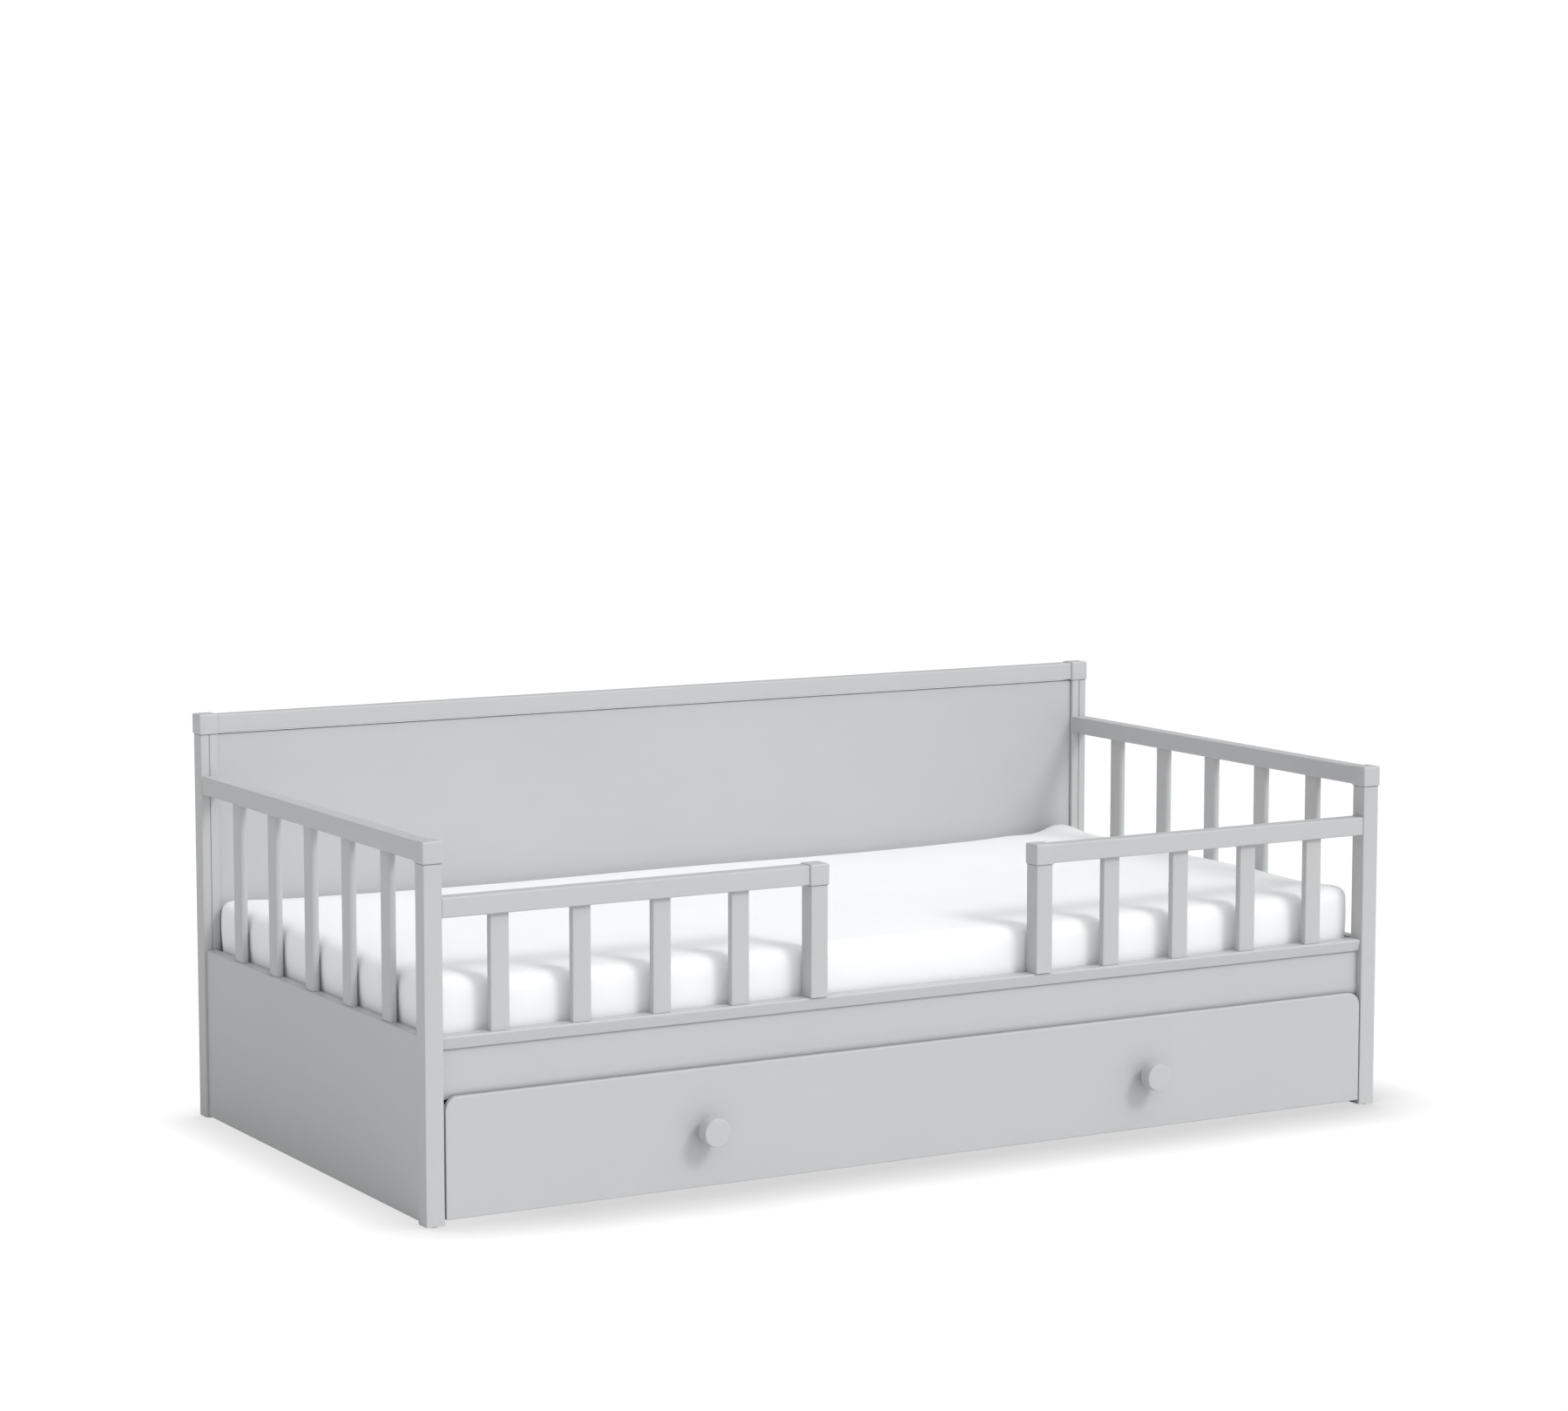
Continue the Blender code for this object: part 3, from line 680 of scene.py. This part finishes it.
def turned(name, profile, material, sides=TURNED_SIDES, relief=None):
    """The profile of (radius, height) turned about +Z. relief gives a height to add at each point."""
    bm = bmesh.new()
    rings = []
    for radius, height in profile:
        ring = []
        for step in range(sides if radius else 1):
            angle = tau * step / sides
            z = height + (relief(radius, angle, height) if relief else 0.0)
            ring.append(bm.verts.new((radius * cos(angle), radius * sin(angle), z)))
        rings.append(ring)
    for below, above in zip(rings, rings[1:]):
        for step in range(sides):
            after = (step + 1) % sides
            corners = [below[step % len(below)], below[after % len(below)]]
            corners += [above[after % len(above)], above[step % len(above)]]
            bm.faces.new(list(dict.fromkeys(corners)))
    obj = mesh_object(name, bm, material)
    obj.data.set_sharp_from_angle(angle=TURNED_SHARP)
    return obj


def sweep(bm, path, up, outline, taper=None):
    """Draws the outline, in (side, up), along the path. taper scales it at each point."""
    rings = []
    for n, point in enumerate(path):
        ahead = (path[min(n + 1, len(path) - 1)] - path[max(n - 1, 0)]).normalized()
        side = ahead.cross(up[n]).normalized()
        rise = side.cross(ahead)
        scale = taper[n] if taper else 1.0
        rings.append([bm.verts.new(point + (side * a + rise * b) * scale) for a, b in outline])
    for near, far in zip(rings, rings[1:]):
        for n in range(len(outline)):
            after = (n + 1) % len(outline)
            bm.faces.new((near[n], near[after], far[after], far[n]))
    bm.faces.new(rings[0][::-1])
    bm.faces.new(rings[-1])


def circle(radius, sides=8):
    return [(radius * cos(tau * n / sides), radius * sin(tau * n / sides)) for n in range(sides)]


def make_knobs(paint, steel):
    """Flat-faced turned knobs on flared stems, each held by a screw from inside the drawer."""
    for side in ("left", "right"):
        low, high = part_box(f"knob_{side}")
        radius, reach = (high.x - low.x) / 2, high.y - low.y
        back, edge = reach - KNOB_HEAD, KNOB_FACE_EDGE
        profile = [(0, 0), *((KNOB_STEM * share, height) for share, height in KNOB_STEM_FLARE)]
        profile += [(KNOB_STEM, back - KNOB_NECK[1]), (KNOB_STEM + KNOB_NECK[0], back)]
        profile += quarter((radius - KNOB_BACK_EDGE, back + KNOB_BACK_EDGE), KNOB_BACK_EDGE, -90)
        profile += quarter((radius - edge, reach - edge), edge, 0)
        profile += [(radius * KNOB_FACE_RING, reach), (0, reach)]
        center = Vector(((low.x + high.x) / 2, high.y, (low.z + high.z) / 2))
        knob = turned(f"turned_knob_{side}", profile, paint)
        placed(knob, center, (0, -1, 0), "drawer", [f"knob_{side}"])
        center.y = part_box("drawer_front")[1].y
        placed(screw_head(f"knob_screw_{side}", steel), center, (0, 1, 0), "drawer")


def cross_recess(radius, angle, height):
    """Depth of the driver cross in a screw's head."""
    x, y = abs(radius * cos(angle)), abs(radius * sin(angle))
    inside = min(x, y) < SCREW_RADIUS * CROSS_HALF_WIDTH and radius < SCREW_RADIUS * CROSS_REACH
    return -SCREW_DOME * CROSS_DEPTH if inside and height > 0 else 0.0


def screw_head(name, steel):
    """A domed head with a driver cross in it."""
    profile = [(0, 0), (SCREW_RADIUS, 0)]
    for step in range(SCREW_STEPS, -1, -1):
        share = step / SCREW_STEPS
        profile.append((SCREW_RADIUS * share, SCREW_DOME * (1 - share**SCREW_DOME_POWER) + SCREW_RIM))
    return turned(name, profile, steel, SCREW_SIDES, cross_recess)


def wheel_ribs(radius, angle, height):
    """Ribs that run from the hub to the rim across the dish of a wheel."""
    dished = RIB_FROM < radius < RIB_TO and height > RIB_ABOVE
    share = min(1.0, max(0.0, (cos(WHEEL_RIBS * angle) - RIB_STARTS) / RIB_SLOPE))
    return RIB_HEIGHT * share if dished else 0.0


def make_wheels(plastic):
    """Moulded wheels: a crowned tread with two grooves, a ribbed dish, a hub, and the pin behind."""
    for end in ("front", "back"):
        for side, sign in (("left", -1), ("right", 1)):
            name = f"wheel_{end}_{side}"
            low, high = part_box(name)
            radius, width = (high.z - low.z) / 2, high.x - low.x - PIN_LENGTH
            profile = [(0, -PIN_LENGTH), (PIN_TIP, -PIN_LENGTH), (PIN_RADIUS, PIN_CHAMFER - PIN_LENGTH)]
            inset, rise = WHEEL_INNER_EDGE
            profile += [*WHEEL_INNER, (radius - inset, rise)]
            edge = WHEEL_TREAD_EDGE
            profile += quarter((radius - edge, rise + edge), edge, -90)
            for share in TREAD_GROOVES:
                profile += [(radius + depth, width * share + along) for depth, along in GROOVE_SECTION]
            profile += quarter((radius - edge, width - edge), edge, 0)
            profile += [(across, width + height) for across, height in (*WHEEL_DISH, *WHEEL_HUB, *WHEEL_EYE)]
            inner = high.x if sign < 0 else low.x
            center = (inner + sign * PIN_LENGTH, (low.y + high.y) / 2, (low.z + high.z) / 2)
            wheel = turned(f"ribbed_{name}", profile, plastic, relief=wheel_ribs)
            placed(wheel, center, (sign, 0, 0), name, [name])


def make_screws(steel):
    """Screws through the drawer sides into its back, and through the support rails."""
    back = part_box("drawer_back")
    for side, sign in (("left", -1), ("right", 1)):
        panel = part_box(f"drawer_side_{side}")
        face = panel[0].x if sign < 0 else panel[1].x
        for level, share in DRAWER_SCREW_LEVELS:
            z = back[0].z + share * (back[1].z - back[0].z)
            spot = (face - sign * DRAWER_SCREW_SINK, (back[0].y + back[1].y) / 2, z)
            placed(screw_head(f"drawer_screw_{side}_{level}", steel), spot, (sign, 0, 0), "drawer")
    for end, sign in (("front", 1), ("back", -1)):
        low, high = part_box(f"support_rail_{end}")
        face = high.y if sign > 0 else low.y
        for number in range(RAIL_SCREW_COUNT):
            x = low.x + (high.x - low.x) * (number + 0.5) / RAIL_SCREW_COUNT
            spot = (x, face - sign * RAIL_SCREW_SINK, (low.z + high.z) / 2)
            placed(screw_head(f"rail_screw_{end}_{number + 1}", steel), spot, (0, sign, 0), "bed")


def make_slatted_base(woods, tape_fabric, steel):
    """Fourteen loose slats, the two tapes that space them, and the staples that hold the tapes."""
    low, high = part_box("slatted_base")
    top = low.z + SLAT_THICKNESS
    pitch = (high.x - low.x - SLAT_WIDTH) / (SLAT_COUNT - 1)
    middles = [low.x + SLAT_WIDTH / 2 + n * pitch for n in range(SLAT_COUNT)]
    for number, x in enumerate(middles):
        bm = bmesh.new()
        bmesh.ops.create_cube(bm, size=1.0)
        bmesh.ops.scale(bm, vec=(SLAT_WIDTH, high.y - low.y, SLAT_THICKNESS), verts=bm.verts)
        edges = list(bm.edges)
        bmesh.ops.bevel(bm, geom=edges, offset=SLAT_EDGE, segments=3, profile=0.5, affect="EDGES")
        slat = mesh_object(f"base_slat_{number + 1:02d}", bm, woods[1])
        slat.data.set_sharp_from_angle(angle=SLAT_SHARP)
        slat.location = (x, (low.y + high.y) / 2, top - SLAT_THICKNESS / 2)
        if number == 0:
            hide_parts("slatted_base")
        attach(slat, "bed")
    staples = bmesh.new()
    thick = TAPE_THICKNESS / 2
    ribbon = [(-TAPE_HALF_WIDTH, 0), (-TAPE_HALF_WIDTH + thick, -thick), (TAPE_HALF_WIDTH - thick, -thick)]
    ribbon += [(TAPE_HALF_WIDTH, 0), (TAPE_HALF_WIDTH - thick, thick), (-TAPE_HALF_WIDTH + thick, thick)]
    for place, y in (("front", low.y + TAPE_INSET), ("back", high.y - TAPE_INSET)):
        path = []
        steps = TAPE_STEPS * (SLAT_COUNT - 1)
        for n in range(-TAPE_TAIL, steps + TAPE_TAIL + 1):
            x = middles[0] + (middles[-1] - middles[0]) * n / steps
            off = abs((n / TAPE_STEPS + 0.5) % 1 - 0.5) * pitch - SLAT_WIDTH / 2
            dip = TAPE_SAG * (1 - (1 - max(off, 0) / (pitch / 2 - SLAT_WIDTH / 2)) ** 2)
            path.append(Vector((x, y, top + thick - (dip if 0 <= n <= steps else 0))))
        bm = bmesh.new()
        sweep(bm, path, [Vector((0, 0, 1))] * len(path), ribbon)
        tape = mesh_object(f"base_tape_{place}", bm, tape_fabric)
        tape.data.set_sharp_from_angle(angle=TAPE_SHARP)
        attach(tape, "bed")
        for x in middles:
            for nudge in (-STAPLE_APART, STAPLE_APART):
                wire = []
                for across, rise in STAPLE_SHAPE:
                    wire.append(Vector((x + nudge, y + across * STAPLE_HALF, top + TAPE_THICKNESS + rise)))
                sweep(staples, wire, [Vector((1, 0, 0))] * len(wire), circle(STAPLE_WIRE, 6))
    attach(mesh_object("base_staples", staples, steel), "bed")


def make_cover_seams(mattress, fabric):
    """The cover's corner seams: a fine ridge down each corner with a row of stitches on either side."""
    graph = bpy.context.evaluated_depsgraph_get()
    skin = BVHTree.FromObject(mattress, graph)
    low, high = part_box("mattress")
    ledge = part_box("front_ledge")[1].z
    bm = bmesh.new()
    for sx in (-1, 1):
        for sy in (-1, 1):
            corner = Vector((high.x if sx > 0 else low.x, high.y if sy > 0 else low.y, 0))
            out = Vector((sx, sy, 0)).normalized()
            core = corner - out * SEAM_START + Vector((0, 0, high.z - SEAM_START))
            turns = [pi / 2 * n / SEAM_STEPS for n in range(SEAM_STEPS + 1)]
            aims = [(core, out * sin(turn) + Vector((0, 0, cos(turn)))) for turn in turns]
            drop = core.z - ledge + SEAM_TUCK
            aims += [(core - Vector((0, 0, drop * n / SEAM_STEPS)), out) for n in range(1, SEAM_STEPS + 1)]
            path, normals = [], []
            for start, aim in aims:
                spot, normal, *_ = skin.ray_cast(start + aim * SEAM_SEEK, -aim)
                if spot:
                    path.append(spot)
                    normals.append(normal)
            off = [(n - SEAM_GATHER_AT) / SEAM_GATHER_SPREAD for n in range(len(path))]
            gather = [1 + SEAM_GATHER * exp(-(share**2)) for share in off]
            sweep(bm, path, normals, circle(SEAM_RADIUS), gather)
            sew(bm, path, normals)
    seams = mesh_object("cover_corner_seams", bm, fabric)
    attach(seams, "bed")


def sew(bm, path, normals):
    """Rows of short stitches on both sides of the path, lying along it."""
    walked = 0.0
    for start, end, normal in zip(path, path[1:], normals):
        length = (end - start).length
        ahead = (end - start).normalized()
        side = ahead.cross(normal).normalized()
        while walked < length:
            center = start + ahead * walked
            lift = normal * STITCH_RADIUS * STITCH_LIFT
            for offset in (-STITCH_OFFSET, STITCH_OFFSET):
                row = center + side * offset
                thread = []
                for share in STITCH_POINTS:
                    thread.append(row + ahead * STITCH_LENGTH * share + lift * (1 - 4 * share * share))
                sweep(bm, thread, [normal] * len(thread), circle(STITCH_RADIUS, 6), STITCH_TAPER)
            walked += STITCH_PITCH
        walked -= length


def make_studio():
    """A white floor with a soft contact shadow, a white sky with a broad glow, a soft key and a side fill."""
    make_floor()
    light_sky()
    place_lamps()


def make_floor():
    """Glows white to the camera, darker close to the bed. To other rays it is matte white."""
    floor = bmesh.new()
    bmesh.ops.create_circle(floor, cap_ends=True, segments=FLOOR_SIDES, radius=FLOOR_RADIUS)
    material = bpy.data.materials.new("studio_floor")
    material.use_nodes = True
    graph = Graph(material.node_tree)
    material.node_tree.nodes.clear()
    place = graph.add("ShaderNodeSeparateXYZ", graph.add("ShaderNodeNewGeometry").outputs["Position"])
    left, inside = CAD_BOUNDS[0][0], CAD_BOUNDS[0][0] + SHADE_BLEND
    reach = graph.ramp(place.outputs["X"], left, inside, SHADE_REACH_LEFT, SHADE_REACH)
    darkest = graph.ramp(place.outputs["X"], left, inside, SHADE_DARKEST_LEFT, SHADE_DARKEST)
    shade = graph.add("ShaderNodeAmbientOcclusion", samples=SHADE_SAMPLES, Distance=reach)
    clear = graph.math("POWER", graph.ramp(shade.outputs["AO"], FLAT_WALL_AO, 1.0), SHADE_CURVE)
    glow = graph.add("ShaderNodeEmission", Color=(1, 1, 1, 1))
    graph.feed(glow, "Strength", graph.ramp(clear, 0.0, 1.0, darkest, BACKDROP))
    matte = graph.add("ShaderNodeBsdfDiffuse", (FLOOR_BOUNCE, FLOOR_BOUNCE, FLOOR_BOUNCE, 1.0))
    seen = graph.add("ShaderNodeLightPath").outputs["Is Camera Ray"]
    mixed = graph.add("ShaderNodeMixShader", seen, matte.outputs[0], glow.outputs[0])
    graph.add("ShaderNodeOutputMaterial", mixed.outputs[0])
    mesh_object("studio_floor", floor, material)


def light_sky():
    """White to the camera. The light it gives is even, with a glow towards SOFTBOX_FROM."""
    world = bpy.data.worlds.new("white_studio")
    world.use_nodes = True
    bpy.context.scene.world = world
    graph = Graph(world.node_tree)
    sky = world.node_tree.nodes["Background"]
    toward = graph.add("ShaderNodeTexCoord").outputs["Generated"]
    softbox = Vector(SOFTBOX_FROM).normalized()
    facing = graph.add("ShaderNodeVectorMath", toward, softbox, operation="DOT_PRODUCT").outputs["Value"]
    glow = graph.math("POWER", graph.math("MAXIMUM", facing, 0.0), SOFTBOX_FALLOFF)
    light = graph.math("MULTIPLY_ADD", glow, SOFTBOX_GAIN, SKY_LEVEL)
    seen = graph.add("ShaderNodeLightPath").outputs["Is Camera Ray"]
    level = graph.ramp(seen, 0.0, 1.0, light, BACKDROP)
    graph.feed(sky, "Color", (1, 1, 1, 1))
    graph.feed(sky, "Strength", level)


def place_lamps():
    """A soft sun from the front right, and a faint area light past the left end, facing the bed."""
    key = bpy.data.lights.new("key_light", "SUN")
    key.energy = KEY_STRENGTH
    key.angle = radians(KEY_SPREAD)
    lamp = bpy.data.objects.new("key_light", key)
    lamp.rotation_mode = "QUATERNION"
    lamp.rotation_quaternion = Vector(KEY_FROM).to_track_quat("Z", "Y")
    bpy.context.scene.collection.objects.link(lamp)

    fill = bpy.data.lights.new("side_fill", "AREA")
    fill.energy = SIDE_FILL_POWER
    fill.size = SIDE_FILL_SIZE
    lamp = bpy.data.objects.new("side_fill", fill)
    lamp.location = SIDE_FILL_PLACE
    lamp.rotation_euler = (0, radians(-90), 0)
    lamp.visible_camera = False
    bpy.context.scene.collection.objects.link(lamp)


def make_camera():
    data = bpy.data.cameras.new("camera")
    data.lens = CAMERA_LENS
    data.sensor_width = SENSOR_WIDTH
    camera = bpy.data.objects.new("camera", data)
    camera.location = CAMERA_PLACE
    camera.rotation_euler = (radians(90 - CAMERA_DOWN), 0, radians(-CAMERA_AZIMUTH))
    bpy.context.scene.collection.objects.link(camera)
    bpy.context.scene.camera = camera
    bpy.context.scene.view_settings.view_transform = "Standard"


def main():
    make_camera()
    make_studio()
    materials = {
        "painted_wood": [painted(f"grey_paint_grain_{axis}", n) for n, axis in enumerate("xyz")],
        "bare_wood": [pine(f"pine_grain_{axis}", n) for n, axis in enumerate("xyz")],
        "drawer_board": liner(),
        "mattress_fabric": cotton(),
        "foot_plastic": moulded("black_glide_plastic", FOOT_BLACK, 0.45),
        "wheel_plastic": moulded("grey_wheel_plastic", WHEEL_GREY, 0.38),
    }
    steel = zinc()
    finish_cad(materials)
    make_knobs(materials["painted_wood"][2], steel)
    make_wheels(materials["wheel_plastic"])
    make_screws(steel)
    make_slatted_base(materials["bare_wood"], webbing(), steel)
    mattress = make_mattress(materials["mattress_fabric"])
    make_cover_seams(mattress, materials["mattress_fabric"])


main()
